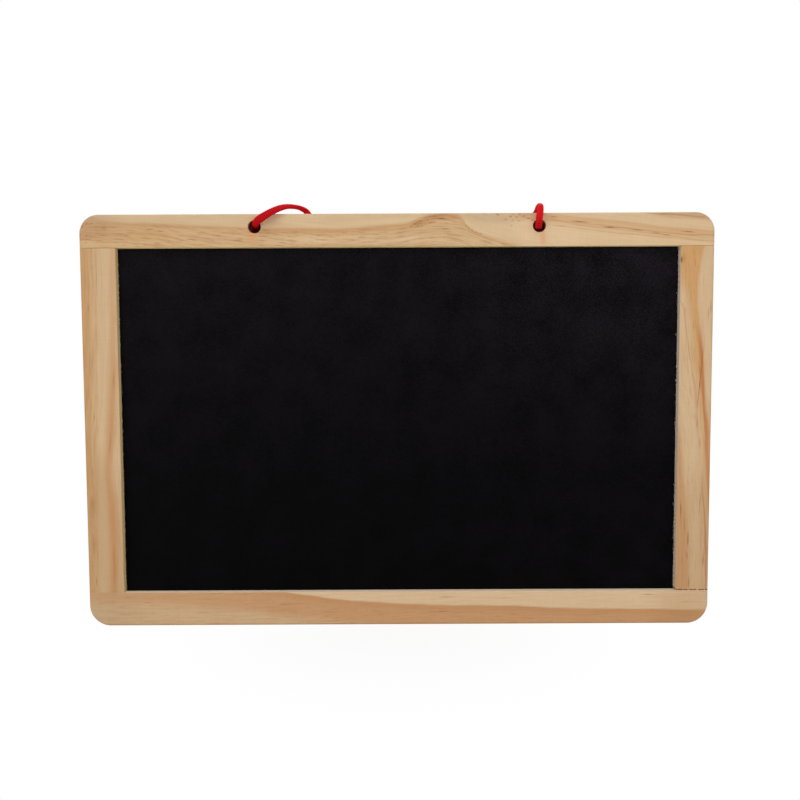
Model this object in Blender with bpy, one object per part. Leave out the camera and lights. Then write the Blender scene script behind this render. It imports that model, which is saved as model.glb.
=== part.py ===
# A small hanging slate in a wooden frame, 300 mm wide: a black chalkboard face in front,
# a white wipe-clean face behind, and a red braided cord through two holes in the top rail.
# Metres, +Z up. The board stands on its bottom edge with its front towards -Y.
# The origin is at the middle of the bottom edge.

import math

import bmesh
import bpy
from mathutils import Vector
from mathutils.geometry import interpolate_bezier

# Frame, driving sizes
board_width = 0.300
board_height = 0.1975
board_thickness = 0.010
top_rail_width = 0.0157
bottom_rail_width = 0.0163
left_stile_width = 0.0170
right_stile_width = 0.0160
top_corner_radius = 0.0090
bottom_corner_radius = 0.0100
edge_round = 0.0009
corner_steps = 8
edge_steps = 3

# Panel between the rails and stiles
core_thickness = 0.0026
facing_thickness = 0.0003
glue_gap = 0.0001
groove_depth = 0.0050
groove_clearance = 0.0001
panel_play = 0.0006

# Corner joints: a stub tenon on each end of a stile fills the end of a rail's groove
tenon_clearance = 0.0001
tenon_play = 0.0004
shoulder_gap = 0.0001

# Cord holes in the top rail
hole_diameter = 0.0060
hole_spacing = 0.1344
hole_drop = 0.0061
hole_steps = 32

# Cord: a round tube with about the section of the flattened braid, 3.7 mm by 2.4 mm
cord_diameter = 0.0032
seam_gap = 0.0006
bend_step = 0.0021
hang_step = 0.0080
bend_zone = 0.0120
route_steps = 24
knot_radius = 0.0042
knot_lobe_share = 0.07
knot_meridians = 24
knot_rings = 14
tail_length = 0.0085
tail_tip_share = 0.85
tail_sides = 10

# The loop swings about a line along X over the cord where it crosses the top rail
pivot_y = 0.0010
pivot_rise = 0.0056

# One overrun serves every cut
overrun = 0.0020

# Points of the cord's route: along the width, to the back and up from the middle of the
# hole that it leaves. The first list runs from the knot behind the left hole to the lowest
# point of the loop, the second from there to the knot behind the right hole.
left_route = [
    (0.0003, 0.0048, 0.0005),
    (0.0003, 0.0020, 0.0008),
    (0.0004, -0.0020, 0.0010),
    (0.0006, -0.0052, 0.0011),
    (0.0017, -0.0078, 0.0021),
    (0.0039, -0.0092, 0.0034),
    (0.0068, -0.0091, 0.0052),
    (0.0099, -0.0080, 0.0071),
    (0.0128, -0.0058, 0.0087),
    (0.0155, -0.0028, 0.0098),
    (0.0182, 0.0006, 0.0102),
    (0.0209, 0.0040, 0.0101),
    (0.0234, 0.0065, 0.0088),
    (0.0250, 0.0075, 0.0060),
    (0.0258, 0.0075, 0.0025),
    (0.0262, 0.0073, -0.0030),
    (0.0268, 0.0072, -0.0140),
    (0.0277, 0.0072, -0.0290),
    (0.0301, 0.0072, -0.0460),
    (0.0344, 0.0072, -0.0620),
    (0.0412, 0.0072, -0.0760),
    (0.0506, 0.0072, -0.0865),
    (0.0618, 0.0072, -0.0925),
    (0.0734, 0.0072, -0.0943),
]
right_route = [
    (-0.0490, 0.0072, -0.0920),
    (-0.0378, 0.0072, -0.0852),
    (-0.0282, 0.0072, -0.0742),
    (-0.0205, 0.0072, -0.0600),
    (-0.0151, 0.0072, -0.0440),
    (-0.0117, 0.0072, -0.0280),
    (-0.0099, 0.0073, -0.0150),
    (-0.0087, 0.0076, -0.0062),
    (-0.0067, 0.0080, -0.0005),
    (-0.0036, 0.0083, 0.0033),
    (-0.0006, 0.0079, 0.0062),
    (0.0007, 0.0060, 0.0082),
    (0.0008, 0.0030, 0.0093),
    (0.0006, -0.0005, 0.0096),
    (0.0003, -0.0040, 0.0092),
    (-0.0001, -0.0072, 0.0080),
    (-0.0005, -0.0094, 0.0057),
    (-0.0009, -0.0099, 0.0030),
    (-0.0009, -0.0087, 0.0008),
    (-0.0007, -0.0058, -0.0003),
    (-0.0004, -0.0020, -0.0004),
    (-0.0003, 0.0020, -0.0002),
    (-0.0003, 0.0048, 0.0000),
]

# Middle of each knot and the way its short end points, from the middle of its hole
left_knot_place = (-0.0004, 0.0096, -0.0010)
left_tail_way = (-0.55, 0.35, -0.76)
right_knot_place = (0.0008, 0.0096, -0.0014)
right_tail_way = (0.62, 0.30, -0.72)

# Sizes worked out from those above
panel_thickness = core_thickness + 2 * (facing_thickness + glue_gap)
groove_width = panel_thickness + 2 * groove_clearance
panel_entry = groove_depth - panel_play
tenon_thickness = groove_width - 2 * tenon_clearance
tenon_length = groove_depth - tenon_play
lower_shoulder = bottom_rail_width + shoulder_gap
upper_shoulder = board_height - top_rail_width - shoulder_gap
hole_height = board_height - hole_drop
left_hole = Vector((-hole_spacing / 2, 0, hole_height))
right_hole = Vector((hole_spacing / 2, 0, hole_height))


def clear_scene():
    for thing in list(bpy.data.objects):
        bpy.data.objects.remove(thing)


def make_material(name, colour, roughness):
    material = bpy.data.materials.new(name)
    material.use_nodes = True
    shader = material.node_tree.nodes["Principled BSDF"]
    shader.inputs["Base Color"].default_value = (*colour, 1.0)
    shader.inputs["Roughness"].default_value = roughness
    shader.inputs["Metallic"].default_value = 0.0
    return material


def make_empty(name, place):
    empty = bpy.data.objects.new(name, None)
    empty.location = place
    bpy.context.collection.objects.link(empty)
    return empty


def make_object(name, mesh, material, parent, place=(0, 0, 0)):
    """Put a mesh at a world place, held by its parent empty."""
    thing = bpy.data.objects.new(name, mesh)
    thing.parent = parent
    thing.location = Vector(place) - parent.location
    if material:
        mesh.materials.append(material)
    bpy.context.collection.objects.link(thing)
    return thing


def finish_mesh(name, bm):
    bmesh.ops.recalc_face_normals(bm, faces=bm.faces)
    mesh = bpy.data.meshes.new(name)
    bm.to_mesh(mesh)
    bm.free()
    return mesh


def add_box(bm, low, high):
    """Add a closed box between two corners."""
    corners = bmesh.ops.create_cube(bm, size=1.0)["verts"]
    for vert in corners:
        for axis in range(3):
            middle = (low[axis] + high[axis]) / 2
            vert.co[axis] = middle + vert.co[axis] * (high[axis] - low[axis])


def arc(centre, radius, first, last, steps):
    """Points of an arc in a plane, from one angle in degrees to another."""
    points = []
    for step in range(steps + 1):
        angle = math.radians(first + (last - first) * step / steps)
        points.append((centre[0] + radius * math.cos(angle), centre[1] + radius * math.sin(angle)))
    return points


def extrude_outline(bm, points, way):
    """Close an outline of 3-D points with a face and pull it along a vector."""
    face = bm.faces.new([bm.verts.new(point) for point in points])
    pulled = bmesh.ops.extrude_face_region(bm, geom=[face])["geom"]
    moved = [item for item in pulled if isinstance(item, bmesh.types.BMVert)]
    bmesh.ops.translate(bm, verts=moved, vec=way)


def cut_away(target, name, bm):
    """Take a closed cutter's space out of an object."""
    cutter = make_object(name, finish_mesh(name, bm), None, target.parent)
    cutter.location = target.location
    cutter.rotation_euler = target.rotation_euler
    cutter.display_type = "WIRE"
    cutter.hide_render = True
    cut = target.modifiers.new(name, "BOOLEAN")
    cut.operation = "DIFFERENCE"
    cut.object = cutter


def build_rail(name, width, corner_radius, material, board):
    """A rail with its joint edge on local Z 0, its rounded corners above and its groove below."""
    half = board_width / 2
    inner = half - corner_radius
    shoulder = width - corner_radius
    outline = [(-half, 0), (half, 0)]
    outline += arc((inner, shoulder), corner_radius, 0, 90, corner_steps)
    outline += arc((-inner, shoulder), corner_radius, 90, 180, corner_steps)
    bm = bmesh.new()
    front = -board_thickness / 2
    extrude_outline(bm, [(x, front, z) for x, z in outline], (0, board_thickness, 0))
    outer = []
    for edge in bm.edges:
        first, second = edge.verts
        along_face = math.isclose(first.co.y, second.co.y, abs_tol=edge_round / 10)
        on_joint = first.co.z + second.co.z < edge_round
        if along_face and not on_joint:
            outer.append(edge)
    bmesh.ops.bevel(bm, geom=outer, offset=edge_round, segments=edge_steps, affect="EDGES", profile=0.5)
    rail = make_object(name, finish_mesh(name, bm), material, board)

    groove = bmesh.new()
    low = (-half - overrun, -groove_width / 2, -overrun)
    high = (half + overrun, groove_width / 2, groove_depth)
    add_box(groove, low, high)
    cut_away(rail, name + "_groove", groove)
    return rail


def place_rail(rail, place, turned):
    """Move a rail and its cutters; a turned one has its rounded corners below."""
    for thing in [rail] + [cut.object for cut in rail.modifiers]:
        thing.location = place
        thing.rotation_euler = (0, math.pi if turned else 0, 0)


def bore_cord_holes(rail, rail_width):
    """Bore the two cord holes from front to back."""
    holes = bmesh.new()
    depth = board_thickness + 2 * overrun
    for side in (-1, 1):
        drilled = bmesh.ops.create_cone(
            holes, cap_ends=True, segments=hole_steps,
            radius1=hole_diameter / 2, radius2=hole_diameter / 2, depth=depth)["verts"]
        for vert in drilled:
            x, y, z = vert.co
            vert.co = (side * hole_spacing / 2 + x, z, rail_width - hole_drop - y)
    cut_away(rail, "cord_holes", holes)


def build_stile(name, width, material, board):
    """A stile with its outer side on local X 0, its groove at its inner side, and a tenon at each end."""
    half = board_thickness / 2
    slot = groove_width / 2
    outline = arc((edge_round, half - edge_round), edge_round, 180, 90, edge_steps)
    outline += [(width, half), (width, slot), (width - groove_depth, slot)]
    outline += [(width - groove_depth, -slot), (width, -slot), (width, -half)]
    outline += arc((edge_round, edge_round - half), edge_round, 270, 180, edge_steps)
    bm = bmesh.new()
    bottom = lower_shoulder - tenon_length
    top = upper_shoulder + tenon_length
    extrude_outline(bm, [(x, y, bottom) for x, y in outline], (0, 0, top - bottom))
    stile = make_object(name, finish_mesh(name, bm), material, board)

    waste = bmesh.new()
    for side in (-1, 1):
        near = min(side * tenon_thickness / 2, side * (half + overrun))
        far = max(side * tenon_thickness / 2, side * (half + overrun))
        for start, end in ((bottom - overrun, lower_shoulder), (upper_shoulder, top + overrun)):
            add_box(waste, (-overrun, near, start), (width + overrun, far, end))
    cut_away(stile, name + "_shoulders", waste)
    return stile


def place_stile(stile, place, turned):
    """Move a stile and its cutter; a turned one has its groove towards -X."""
    for thing in [stile] + [cut.object for cut in stile.modifiers]:
        thing.location = place
        thing.rotation_euler = (0, 0, math.pi if turned else 0)


def build_sheet(name, front, thickness, material, board):
    """One layer of the panel, from its front plane back."""
    low = (left_stile_width - panel_entry - board_width / 2, front, bottom_rail_width - panel_entry)
    high = (board_width / 2 - right_stile_width + panel_entry, front + thickness,
            board_height - top_rail_width + panel_entry)
    bm = bmesh.new()
    add_box(bm, low, high)
    return make_object(name, finish_mesh(name, bm), material, board)


def smooth_route(points):
    """A fine line through the route's points, each stretch a cubic with shared slopes."""
    line = [points[0]]
    for index in range(len(points) - 1):
        before = points[max(index - 1, 0)]
        start, end = points[index], points[index + 1]
        after = points[min(index + 2, len(points) - 1)]
        first_handle = start + (end - before) * ((end - start).length / (end - before).length / 3)
        last_handle = end - (after - start) * ((end - start).length / (after - start).length / 3)
        line += interpolate_bezier(start, first_handle, last_handle, end, route_steps)[1:]
    return line


def part_of_line(line, start, end):
    """The points of a fine line between two distances along it, with exact ends."""
    kept = []
    travelled = 0.0
    for here, there in zip(line, line[1:]):
        length = (there - here).length
        if not kept and travelled + length > start:
            kept.append(here.lerp(there, (start - travelled) / length))
        elif kept:
            kept.append(here)
        if travelled + length >= end:
            kept.append(here.lerp(there, (end - travelled) / length))
            return kept
        travelled += length
    kept.append(line[-1])
    return kept


def spaced(line):
    """Thin a fine line out: close points where the cord bends over the rail, wide ones below."""
    chosen = [line[0]]
    for point in line[1:-1]:
        step = bend_step if point.z > hole_height - bend_zone else hang_step
        if (point - chosen[-1]).length >= step and (point - line[-1]).length >= step / 2:
            chosen.append(point)
    return chosen + [line[-1]]


def build_tube(name, line, material, parent, place):
    """A round tube with flat ends along a line."""
    curve = bpy.data.curves.new(name, "CURVE")
    curve.dimensions = "3D"
    curve.bevel_depth = cord_diameter / 2
    curve.bevel_resolution = 2
    curve.use_fill_caps = True
    spline = curve.splines.new("POLY")
    points = spaced(line)
    spline.points.add(len(points) - 1)
    for spot, point in zip(spline.points, points):
        spot.co = (*(point - Vector(place)), 1.0)
    return make_object(name, curve, material, parent, place)


def distance_where(line, reached):
    """How far along a fine line its first point that passes a test lies."""
    travelled = 0.0
    for here, there in zip(line, line[1:]):
        if reached(here):
            return travelled
        travelled += (there - here).length
    return travelled


def build_cord(material, board, swing):
    """The cord in three stretches: a lead at each hole and the loop that swings between them."""
    left = [left_hole + Vector(point) for point in left_route]
    right = [right_hole + Vector(point) for point in right_route]
    line = smooth_route(left + right)
    length = sum((there - here).length for here, there in zip(line, line[1:]))
    left_seam = distance_where(line, lambda point: point.x > left_hole.x + hole_diameter and point.y > pivot_y)
    backwards = line[::-1]
    right_seam = length - distance_where(
        backwards, lambda point: point.z > board_height and point.y > pivot_y)
    half_gap = seam_gap / 2
    left_lead = part_of_line(line, 0, left_seam - half_gap)
    loop = part_of_line(line, left_seam + half_gap, right_seam - half_gap)
    right_lead = part_of_line(line, right_seam + half_gap, length)
    build_tube("left_cord_lead", left_lead, material, board, left_hole)
    build_tube("hanging_loop", loop, material, swing, swing.location)
    build_tube("right_cord_lead", right_lead, material, board, right_hole)
    print("cord length from knot to knot", round(length, 4))


def build_knot(name, hole, place, tail_way, material, board):
    """An overhand knot as one closed lump with the cord's short end, too wide for its hole."""
    bm = bmesh.new()
    bmesh.ops.create_uvsphere(bm, u_segments=knot_meridians, v_segments=knot_rings, radius=1.0)
    for vert in bm.verts:
        turn = math.atan2(vert.co.y, vert.co.x)
        vert.co *= knot_radius * (1 + knot_lobe_share * math.cos(3 * turn + 4 * vert.co.z))
    knot = make_object(name, finish_mesh(name, bm), material, board, hole + Vector(place))
    knot.data.shade_smooth()

    tail = bmesh.new()
    bmesh.ops.create_cone(
        tail, cap_ends=True, segments=tail_sides, radius1=cord_diameter / 2,
        radius2=cord_diameter / 2 * tail_tip_share, depth=tail_length)
    bmesh.ops.translate(tail, verts=tail.verts, vec=(0, 0, tail_length / 2))
    turn = Vector((0, 0, 1)).rotation_difference(Vector(tail_way))
    bmesh.ops.rotate(tail, verts=tail.verts, cent=(0, 0, 0), matrix=turn.to_matrix())
    end = make_object(name + "_end", finish_mesh(name + "_end", tail), None, board, hole + Vector(place))
    end.display_type = "WIRE"
    end.hide_render = True
    join = knot.modifiers.new("short_end", "BOOLEAN")
    join.operation = "UNION"
    join.object = end


def build_board():
    pine = make_material("pine", (0.60, 0.40, 0.22), 0.62)
    hardboard = make_material("hardboard", (0.20, 0.12, 0.06), 0.80)
    slate_paint = make_material("slate_paint", (0.012, 0.011, 0.013), 0.78)
    white_film = make_material("white_film", (0.86, 0.87, 0.87), 0.18)
    red_braid = make_material("red_braid", (0.50, 0.008, 0.012), 0.70)

    board = make_empty("board", (0, 0, 0))
    swing = make_empty("loop_swing", (0, pivot_y, board_height + pivot_rise))

    top_rail = build_rail("top_rail", top_rail_width, top_corner_radius, pine, board)
    bore_cord_holes(top_rail, top_rail_width)
    place_rail(top_rail, (0, 0, board_height - top_rail_width), False)
    bottom_rail = build_rail("bottom_rail", bottom_rail_width, bottom_corner_radius, pine, board)
    place_rail(bottom_rail, (0, 0, bottom_rail_width), True)
    left_stile = build_stile("left_stile", left_stile_width, pine, board)
    place_stile(left_stile, (-board_width / 2, 0, 0), False)
    right_stile = build_stile("right_stile", right_stile_width, pine, board)
    place_stile(right_stile, (board_width / 2, 0, 0), True)

    front = -panel_thickness / 2
    build_sheet("chalkboard_face", front, facing_thickness, slate_paint, board)
    build_sheet("panel_core", -core_thickness / 2, core_thickness, hardboard, board)
    build_sheet("whiteboard_face", -front - facing_thickness, facing_thickness, white_film, board)

    build_cord(red_braid, board, swing)
    build_knot("left_knot", left_hole, left_knot_place, left_tail_way, red_braid, board)
    build_knot("right_knot", right_hole, right_knot_place, right_tail_way, red_braid, board)


clear_scene()
build_board()
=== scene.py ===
# A small hanging slate in a planed pine frame, with a red braided cord, on a plain white floor.
# Metres, +Z up. The board stands on its bottom edge with its front towards -Y.

import math
from collections import namedtuple

import bmesh
import bpy
from mathutils import Matrix, Vector, noise
from mathutils.geometry import interpolate_bezier


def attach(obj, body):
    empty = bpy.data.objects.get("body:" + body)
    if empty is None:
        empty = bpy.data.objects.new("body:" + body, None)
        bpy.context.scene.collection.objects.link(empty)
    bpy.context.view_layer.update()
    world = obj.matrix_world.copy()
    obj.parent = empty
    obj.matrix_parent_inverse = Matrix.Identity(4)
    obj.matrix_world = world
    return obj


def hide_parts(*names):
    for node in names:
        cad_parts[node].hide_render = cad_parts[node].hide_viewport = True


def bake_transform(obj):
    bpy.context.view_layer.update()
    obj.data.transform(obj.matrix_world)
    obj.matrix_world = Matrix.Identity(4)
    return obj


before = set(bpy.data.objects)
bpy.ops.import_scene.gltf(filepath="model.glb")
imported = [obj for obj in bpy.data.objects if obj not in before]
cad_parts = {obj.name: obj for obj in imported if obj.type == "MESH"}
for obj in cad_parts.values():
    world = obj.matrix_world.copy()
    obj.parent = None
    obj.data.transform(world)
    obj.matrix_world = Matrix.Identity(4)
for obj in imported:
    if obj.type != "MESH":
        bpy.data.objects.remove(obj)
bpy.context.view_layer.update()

mm = 0.001

# Frame, as in the CAD
board_width = 300 * mm
board_height = 197.5 * mm
board_thickness = 10 * mm
top_rail_width = 15.7 * mm
bottom_rail_width = 16.3 * mm
left_stile_width = 17.0 * mm
right_stile_width = 16.0 * mm
top_corner_radius = 9 * mm
bottom_corner_radius = 10 * mm
edge_round = 0.9 * mm
groove_width = 3.6 * mm
groove_depth = 5 * mm
tenon_thickness = 3.4 * mm
tenon_length = 4.6 * mm
shoulder_gap = 0.1 * mm
hole_diameter = 6 * mm
hole_spacing = 134.4 * mm
hole_drop = 6.1 * mm
overrun = 2 * mm

# Finishing of the wood
corner_steps = 14
edge_steps = 5
arris_size = 0.14 * mm
arris_steps = 2
hole_flare = 0.25 * mm
hole_steps = 48
long_cut = 1.5 * mm
cross_cut = 2.0 * mm
chatter_cut = 0.45 * mm
chatter_pitch = 2.2 * mm
chatter_depth = 0.1 * mm
chatter_wander = 2.5
chip_height = 0.5 * mm
chip_depth = 2.5 * mm
chips = [(0.2 * mm, 3.5 * mm), (4.1 * mm, 5.9 * mm), (7.0 * mm, 10.3 * mm), (11.4 * mm, 13.9 * mm),
         (14.5 * mm, 15.6 * mm)]
flatness = 0.03 * mm
worn_corner_radius = 1.5 * mm
worn_corner_steps = 8
sharp_angle = math.radians(32)
touching = 0.01 * mm
weld_distance = 0.001 * mm
slice_distance = 0.0001 * mm

# Unevenness of the wood: how much of it there is, and how fine, in waves per metre
hole_raggedness = 0.25
ragged_scale = 2.2
hollow_share = 0.4
hollow_scale = 40
wander_scale = 60
tear_scale = 140

# Figure of the pine, in mm: how far along a rail and a stile it is drawn, how far either side of a
# member's inner edge its lines may lie, and how deep its marks go
rail_span = (-160, 160)
stile_span = (0, 200)
figure_room = 30
mark_depth = 1.5
wedge_step = 0.2

# Cord: a flat braid, ribbed across at the left and parted into two lobes at the right
cord_width = 3.4 * mm
spread_gain = 0.42 * mm
drawn_width = 3.2 * mm
cord_thickness = 2.35 * mm
rounder_thickness = 3.0 * mm
pressed = 0.6 * mm
slow_twist = 6 * mm
core_over_hole = 4.6 * mm
mouth_depth = 0.6 * mm
# How far into a hole from the front the cord is given painted shade
hole_shade_reach = 14 * mm

# Its weave: the stitches' size, depth, slant and sharpness, and the painted light on their crowns: dimmer to
# the right, lighter past the left hole, with painted shade in the partings and on the front by the right hole
stitch_pitch = 1.0 * mm
left_rib_depth = 0.4 * mm
right_rib_depth = 0.12 * mm
left_parting_depth = 0.05 * mm
right_parting_depth = 0.28 * mm
left_slant = 0.25
right_slant = 0.9
left_sharpness = 2
right_sharpness = 0.6
painted_brightness = 0.77
painted_right_dimming = 0.13
painted_lit_gain = 0.42
painted_shade_share = 0.25
crest_share = 0.8
painted_valley_shade = 0.35
valley_power = 8
sides = 32
points_per_stitch = 6
evened_points = 12
cap_height = 0.25 * mm

# The knots at its ends: an overhand knot's line, drawn tight, with a short melted tip
knot_size = 1.2 * mm
knot_squeeze = 0.88
knot_steps = 22
knot_trim = 0.36
knot_depth = 1.5
knot_start = 0.1 * mm
through_share = 0.9
tail_length = 8.5 * mm
tail_bow = 1.2 * mm
bow_share = 0.62
tip_length = 1.4 * mm
tip_share = 0.86

# Where the cord changes: a change starts at the first place and is whole at the second. Heights are over the
# middle of a hole, depths lie along Y, and the painted-light and spread places are right of the left hole.
# The painted-light, painted-shade and hole-shade entries set painted light and shade on the cord.
left_to_right = (-20 * mm, 20 * mm)
twisted_depths = (0, 4 * mm)
painted_lit_places = (8 * mm, 24 * mm)
crest_heights = (6 * mm, 9 * mm)
painted_shade_heights = (4 * mm, 0)
pressed_heights = (2 * mm, 5 * mm)
pressed_depths = (-1 * mm, 4 * mm)
rounder_heights = (-8 * mm, 0)
front_depths = (2 * mm, -2 * mm)
spreading_places = (1 * mm, 4 * mm)
narrowing_places = (10.5 * mm, 3.5 * mm)
hole_shade_from_front = (-2 * mm, 0.7 * mm)
hole_shade_from_knot = (0, 0.5 * mm)
drawn_from_start = (9 * mm, 13 * mm)
melted_shares = (1.3, 0.3)

# Splinters along the grooves, and the limits between which each is turned, moved and sized
splinter_sizes = {"Spacing": 0.9 * mm, "Length": 0.9 * mm, "Thickness": 0.09 * mm}
splinter_tilt = Vector((0.5, 0.35, 3.1))
splinter_drift = Vector((0.4 * mm, 0.1 * mm, 0.4 * mm))
splinter_shares = (0.35, 1.3)

hole_height = board_height - hole_drop
left_hole = Vector((-hole_spacing / 2, 0, hole_height))
right_hole = Vector((hole_spacing / 2, 0, hole_height))

# The cord's route, as in the CAD: along the width, to the back and up from the middle of a hole
left_route = [
    (0.0003, 0.0048, 0.0005),
    (0.0003, 0.0020, 0.0008),
    (0.0004, -0.0020, 0.0010),
    (0.0006, -0.0052, 0.0011),
    (0.0017, -0.0078, 0.0021),
    (0.0039, -0.0092, 0.0034),
    (0.0068, -0.0091, 0.0052),
    (0.0099, -0.0080, 0.0071),
    (0.0128, -0.0058, 0.0087),
    (0.0155, -0.0028, 0.0098),
    (0.0182, 0.0006, 0.0102),
    (0.0209, 0.0040, 0.0101),
    (0.0234, 0.0065, 0.0088),
    (0.0250, 0.0075, 0.0060),
    (0.0258, 0.0075, 0.0025),
    (0.0262, 0.0073, -0.0030),
    (0.0268, 0.0072, -0.0140),
    (0.0277, 0.0072, -0.0290),
    (0.0301, 0.0072, -0.0460),
    (0.0344, 0.0072, -0.0620),
    (0.0412, 0.0072, -0.0760),
    (0.0506, 0.0072, -0.0865),
    (0.0618, 0.0072, -0.0925),
    (0.0734, 0.0072, -0.0943),
]
right_route = [
    (-0.0490, 0.0072, -0.0920),
    (-0.0378, 0.0072, -0.0852),
    (-0.0282, 0.0072, -0.0742),
    (-0.0205, 0.0072, -0.0600),
    (-0.0151, 0.0072, -0.0440),
    (-0.0117, 0.0072, -0.0280),
    (-0.0099, 0.0073, -0.0150),
    (-0.0087, 0.0076, -0.0062),
    (-0.0067, 0.0080, -0.0005),
    (-0.0036, 0.0083, 0.0033),
    (-0.0006, 0.0079, 0.0062),
    (0.0007, 0.0060, 0.0082),
    (0.0008, 0.0030, 0.0093),
    (0.0006, -0.0005, 0.0096),
    (0.0003, -0.0040, 0.0092),
    (-0.0001, -0.0072, 0.0080),
    (-0.0005, -0.0094, 0.0057),
    (-0.0009, -0.0099, 0.0030),
    (-0.0009, -0.0087, 0.0008),
    (-0.0007, -0.0058, -0.0003),
    (-0.0004, -0.0020, -0.0004),
    (-0.0003, 0.0020, -0.0002),
    (-0.0003, 0.0048, 0.0000),
]
left_knot_place = Vector((-0.0008, 0.0083, -0.0010))
left_tail_way = Vector((-0.55, 0.35, -0.76)).normalized()
right_knot_place = Vector((0.0011, 0.0083, 0.0004))
right_tail_way = Vector((0.62, 0.30, -0.72)).normalized()
route_steps = 24


# Small tools


def linear(colour):
    """An sRGB hex colour as linear RGBA."""
    parts = [int(colour[start:start + 2], 16) / 255 for start in (1, 3, 5)]
    return (*[c / 12.92 if c <= 0.04045 else ((c + 0.055) / 1.055) ** 2.4 for c in parts], 1.0)


def ramp(value, start, end):
    """How far a value has come from the start to the end, from 0 to 1."""
    return min(max((value - start) / (end - start), 0), 1)


def add_node(tree, kind, links=None, **settings):
    """Add a node with its settings; each entry of links feeds an input from a socket or a value."""
    node = tree.nodes.new(kind)
    for name, value in settings.items():
        setattr(node, name, value)
    for name, source in (links or {}).items():
        if isinstance(source, bpy.types.NodeSocket):
            tree.links.new(source, node.inputs[name])
        else:
            node.inputs[name].default_value = source
    return node


def maths(tree, operation, *values, **settings):
    """What a maths node makes of sockets and numbers."""
    links = dict(enumerate(values))
    return add_node(tree, "ShaderNodeMath", links, operation=operation, **settings).outputs[0]


def ranged(tree, value, low, high, start=0.0, end=1.0, **settings):
    """A value between low and high as one between start and end."""
    return add_node(tree, "ShaderNodeMapRange", {
        "Value": value, "From Min": low, "From Max": high, "To Min": start, "To Max": end},
        **settings).outputs[0]


def mapped(tree, place, scale, location=(0, 0, 0), turn=(0, 0, 0)):
    return add_node(tree, "ShaderNodeMapping", {
        "Vector": place, "Location": location, "Rotation": turn, "Scale": scale}).outputs[0]


def noise_at(tree, place, scale=1.0, detail=2.0, roughness=0.5):
    return add_node(tree, "ShaderNodeTexNoise", {
        "Vector": place, "Scale": scale, "Detail": detail, "Roughness": roughness}).outputs["Fac"]


def mixed(tree, amount, under, over):
    """One colour laid over another; each is a socket or a hex colour."""
    under, over = [linear(colour) if isinstance(colour, str) else colour for colour in (under, over)]
    return add_node(tree, "ShaderNodeMix", {
        "Factor": amount, 6: under, 7: over}, data_type="RGBA").outputs[2]


def bumped(tree, height, strength, distance):
    return add_node(tree, "ShaderNodeBump", {
        "Height": height, "Strength": strength, "Distance": distance}).outputs[0]


def new_material(name):
    material = bpy.data.materials.new(name)
    material.use_nodes = True
    material.node_tree.nodes.clear()
    return material, material.node_tree


def object_place(tree):
    return add_node(tree, "ShaderNodeTexCoord").outputs["Object"]


def surfaced(material, colour, roughness, gloss=0.5, normal=None):
    """Close a material's nodes with a surface of this colour, roughness, specular level and relief."""
    links = {"Base Color": colour, "Roughness": roughness, "Specular IOR Level": gloss}
    if normal is not None:
        links["Normal"] = normal
    shader = add_node(material.node_tree, "ShaderNodeBsdfPrincipled", links)
    add_node(material.node_tree, "ShaderNodeOutputMaterial", {"Surface": shader.outputs[0]})
    return material


def new_object(name, data, *materials):
    thing = bpy.data.objects.new(name, data)
    for material in materials:
        data.materials.append(material)
    bpy.context.scene.collection.objects.link(thing)
    return thing


def mesh_from(name, bm):
    mesh = bpy.data.meshes.new(name)
    bm.to_mesh(mesh)
    bm.free()
    return mesh


def made_plain(thing):
    """Turn an object's modifiers into its plain mesh."""
    graph = bpy.context.evaluated_depsgraph_get()
    mesh = bpy.data.meshes.new_from_object(thing.evaluated_get(graph))
    mesh.name = thing.name
    thing.modifiers.clear()
    thing.data = mesh
    return thing


# Pine


def line_across(tree, along, span, points):
    """How far across the member, in mm, a drawn line of the figure lies at each place along it."""
    low, high = span
    node = add_node(tree, "ShaderNodeFloatCurve", {"Value": ranged(tree, along, low, high)})
    curve = node.mapping.curves[0]
    placed = [((a - low) / (high - low), (b + figure_room) / (2 * figure_room)) for a, b in points]
    while len(curve.points) < len(placed):
        curve.points.new(0.5, 0.5)
    for point, place in zip(curve.points, placed):
        point.location = place
    node.mapping.use_clip = False
    node.mapping.update()
    return ranged(tree, node.outputs["Value"], 0.0, 1.0, -figure_room, figure_room, clamp=False)


# A band of the figure starts at its line and reaches its width, or its far line, further out, in mm.
# Soft and fade say how gradually it starts and stops. Each of its ends fades in along the member,
# from the first place to the second.
Band = namedtuple("Band", "colour strength line width far soft fade ends", defaults=(60, None, 0.35, 0.5, ()))


def figure_band(tree, along, across, span, colour_so_far, band):
    """Lay one band of the figure over the colour."""
    past = maths(tree, "SUBTRACT", across, line_across(tree, along, span, band.line))
    start = ranged(tree, past, -band.soft, band.soft, interpolation_type="SMOOTHSTEP")
    reach = band.width
    if band.far:
        past = maths(tree, "SUBTRACT", across, line_across(tree, along, span, band.far))
        reach = 0
    stop = ranged(tree, past, reach - band.fade, reach + band.fade, band.strength, 0.0,
                  interpolation_type="SMOOTHSTEP")
    amount = maths(tree, "MULTIPLY", start, stop)
    for end, inside in band.ends:
        shown = ranged(tree, along, end, inside, interpolation_type="SMOOTHSTEP")
        amount = maths(tree, "MULTIPLY", amount, shown)
    return mixed(tree, amount, colour_so_far, band.colour)


def placed_marks(tree, place, marks):
    """One factor for all of a member's own short marks: (along, across, length, width, tilt, strength)."""
    total = 0.0
    for along, across, length, width, tilt, strength in marks:
        spot = add_node(tree, "ShaderNodeMapping", {
            "Vector": place, "Location": (along, across, 0), "Rotation": (0, 0, math.radians(tilt)),
            "Scale": (length / 2, width / 2, mark_depth)}, vector_type="TEXTURE")
        blot = add_node(tree, "ShaderNodeTexGradient", {"Vector": spot.outputs[0]}, gradient_type="SPHERICAL")
        total = maths(tree, "MULTIPLY_ADD", blot.outputs["Fac"], strength, total)
    return total


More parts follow.
